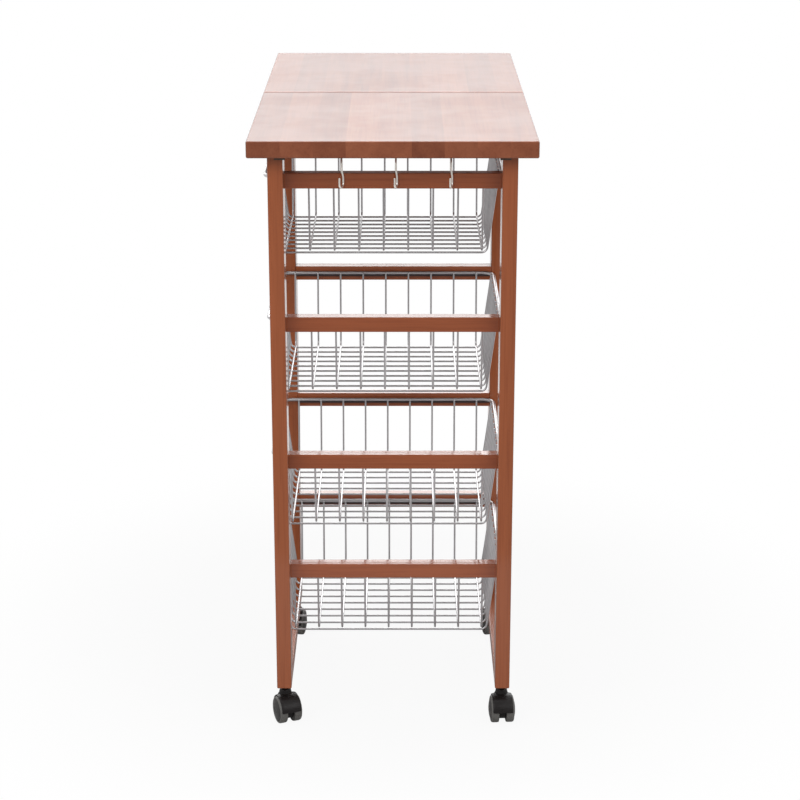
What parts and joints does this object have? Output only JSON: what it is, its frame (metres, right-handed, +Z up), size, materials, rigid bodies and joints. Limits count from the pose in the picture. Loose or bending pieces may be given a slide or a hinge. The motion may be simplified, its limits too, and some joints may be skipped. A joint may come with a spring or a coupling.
{
  "type": "kitchen trolley",
  "caption": "Narrow wooden kitchen trolley on castors with sliding wire baskets, a drop-leaf worktop on swinging props and hooks on the front rail.",
  "frame": {"origin": "on the floor, under the middle of the seam between the fixed half of the worktop and its leaf", "axes": "+Z up; +X to the right when facing the side with the hooks; +Y from the hooks' side to the leaf"},
  "size_m": [0.37, 0.74, 0.822],
  "materials": {
    "worktop_wood": "satin lacquer",
    "frame_wood": "satin lacquer",
    "runner_strip": "satin",
    "basket_wire": "polished",
    "hook_wire": "polished",
    "hinge_steel": "zinc plated",
    "prop_steel": "zinc plated",
    "plate_steel": "dark satin",
    "castor_steel": "zinc plated",
    "castor_plastic": "moulded, slightly glossy",
    "castor_tread": "matt"
  },
  "bodies": {
    "frame": {"top_fixed": "worktop_wood", "leg_near_left": "frame_wood", "leg_near_right": "frame_wood", "leg_rear_left": "frame_wood", "leg_rear_right": "frame_wood", "rail_near_1": "frame_wood", "rail_near_2": "frame_wood", "rail_near_3": "frame_wood", "rail_near_4": "frame_wood", "rail_rear_1": "frame_wood", "rail_rear_2": "frame_wood", "rail_rear_3": "frame_wood", "rail_rear_4": "frame_wood", "stringer_left": "frame_wood", "stringer_right": "frame_wood", "runners_1": "runner_strip", "runners_2": "runner_strip", "runners_3": "runner_strip", "runners_4": "runner_strip", "top_plates": "plate_steel", "hinge_plates_fixed": "hinge_steel", "hinge_pins": "hinge_steel", "prop_pivots": "prop_steel", "castor_stems": "castor_steel"},
    "leaf": {"top_leaf": "worktop_wood", "hinge_plates_leaf": "hinge_steel", "prop_catches": "prop_steel"},
    "prop_left": {"prop_left": "prop_steel"},
    "prop_right": {"prop_right": "prop_steel"},
    "basket_1": {"basket_1": "basket_wire"},
    "basket_2": {"basket_2": "basket_wire"},
    "basket_3": {"basket_3": "basket_wire"},
    "basket_4": {"basket_4": "basket_wire"},
    "hook_1": {"hook_1": "hook_wire"},
    "hook_2": {"hook_2": "hook_wire"},
    "hook_3": {"hook_3": "hook_wire"},
    "castor_near_left": {"castor_hood_near_left": "castor_plastic", "castor_axle_near_left": "castor_steel"},
    "wheel_near_left_left": {"castor_wheel_near_left_left": "castor_tread"},
    "wheel_near_left_right": {"castor_wheel_near_left_right": "castor_tread"},
    "castor_near_right": {"castor_hood_near_right": "castor_plastic", "castor_axle_near_right": "castor_steel"},
    "wheel_near_right_left": {"castor_wheel_near_right_left": "castor_tread"},
    "wheel_near_right_right": {"castor_wheel_near_right_right": "castor_tread"},
    "castor_rear_left": {"castor_hood_rear_left": "castor_plastic", "castor_axle_rear_left": "castor_steel"},
    "wheel_rear_left_left": {"castor_wheel_rear_left_left": "castor_tread"},
    "wheel_rear_left_right": {"castor_wheel_rear_left_right": "castor_tread"},
    "castor_rear_right": {"castor_hood_rear_right": "castor_plastic", "castor_axle_rear_right": "castor_steel"},
    "wheel_rear_right_left": {"castor_wheel_rear_right_left": "castor_tread"},
    "wheel_rear_right_right": {"castor_wheel_rear_right_right": "castor_tread"}
  },
  "joints": [
    {"name": "leaf_hinge", "type": "hinge", "parent": "frame", "child": "leaf", "pos_m": [0, 0, 0.797], "axis": [-1, 0, 0], "range_deg": [0, 90]},
    {"name": "prop_left_swing", "type": "hinge", "parent": "frame", "child": "prop_left", "pos_m": [-0.1627, -0.024, 0.697], "axis": [-1, 0, 0], "range_deg": [0, 113.85]},
    {"name": "prop_right_swing", "type": "hinge", "parent": "frame", "child": "prop_right", "pos_m": [0.1627, -0.024, 0.697], "axis": [-1, 0, 0], "range_deg": [0, 113.85]},
    {"name": "basket_1_slide", "type": "slide", "parent": "frame", "child": "basket_1", "axis": [-1, 0, 0], "range_m": [-0.14, 0.12]},
    {"name": "basket_2_slide", "type": "slide", "parent": "frame", "child": "basket_2", "axis": [-1, 0, 0], "range_m": [-0.14, 0.12]},
    {"name": "basket_3_slide", "type": "slide", "parent": "frame", "child": "basket_3", "axis": [-1, 0, 0], "range_m": [-0.14, 0.12]},
    {"name": "basket_4_slide", "type": "slide", "parent": "frame", "child": "basket_4", "axis": [-1, 0, 0], "range_m": [-0.14, 0.12]},
    {"name": "hook_1_slide", "type": "slide", "parent": "frame", "child": "hook_1", "axis": [1, 0, 0], "range_m": [-0.066, 0.03]},
    {"name": "hook_2_slide", "type": "slide", "parent": "frame", "child": "hook_2", "axis": [1, 0, 0], "range_m": [-0.03, 0.03]},
    {"name": "hook_3_slide", "type": "slide", "parent": "frame", "child": "hook_3", "axis": [1, 0, 0], "range_m": [-0.03, 0.058]},
    {"name": "castor_near_left_swivel", "type": "hinge", "parent": "frame", "child": "castor_near_left", "pos_m": [-0.15, -0.324, 0.04], "axis": [0, 0, 1], "continuous": true},
    {"name": "wheel_near_left_left_spin", "type": "hinge", "parent": "castor_near_left", "child": "wheel_near_left_left", "pos_m": [-0.147, -0.33142, 0.019], "axis": [0.9272, 0.3746, 0], "continuous": true},
    {"name": "wheel_near_left_right_spin", "type": "hinge", "parent": "castor_near_left", "child": "wheel_near_left_right", "pos_m": [-0.147, -0.33142, 0.019], "axis": [0.9272, 0.3746, 0], "continuous": true},
    {"name": "castor_near_right_swivel", "type": "hinge", "parent": "frame", "child": "castor_near_right", "pos_m": [0.15, -0.324, 0.04], "axis": [0, 0, 1], "continuous": true},
    {"name": "wheel_near_right_left_spin", "type": "hinge", "parent": "castor_near_right", "child": "wheel_near_right_left", "pos_m": [0.15056, -0.33198, 0.019], "axis": [0.9976, 0.0698, 0], "continuous": true},
    {"name": "wheel_near_right_right_spin", "type": "hinge", "parent": "castor_near_right", "child": "wheel_near_right_right", "pos_m": [0.15056, -0.33198, 0.019], "axis": [0.9976, 0.0698, 0], "continuous": true},
    {"name": "castor_rear_left_swivel", "type": "hinge", "parent": "frame", "child": "castor_rear_left", "pos_m": [-0.15, -0.028, 0.04], "axis": [0, 0, 1], "continuous": true},
    {"name": "wheel_rear_left_left_spin", "type": "hinge", "parent": "castor_rear_left", "child": "wheel_rear_left_left", "pos_m": [-0.15111, -0.03592, 0.019], "axis": [0.9903, -0.1392, 0], "continuous": true},
    {"name": "wheel_rear_left_right_spin", "type": "hinge", "parent": "castor_rear_left", "child": "wheel_rear_left_right", "pos_m": [-0.15111, -0.03592, 0.019], "axis": [0.9903, -0.1392, 0], "continuous": true},
    {"name": "castor_rear_right_swivel", "type": "hinge", "parent": "frame", "child": "castor_rear_right", "pos_m": [0.15, -0.028, 0.04], "axis": [0, 0, 1], "continuous": true},
    {"name": "wheel_rear_right_left_spin", "type": "hinge", "parent": "castor_rear_right", "child": "wheel_rear_right_left", "pos_m": [0.15139, -0.03588, 0.019], "axis": [0.9848, 0.1736, 0], "continuous": true},
    {"name": "wheel_rear_right_right_spin", "type": "hinge", "parent": "castor_rear_right", "child": "wheel_rear_right_right", "pos_m": [0.15139, -0.03588, 0.019], "axis": [0.9848, 0.1736, 0], "continuous": true}
  ],
  "couplings": [
    {"joint": "prop_left_swing", "follows": "leaf_hinge", "ratio": 1.265},
    {"joint": "prop_right_swing", "follows": "leaf_hinge", "ratio": 1.265}
  ]
}
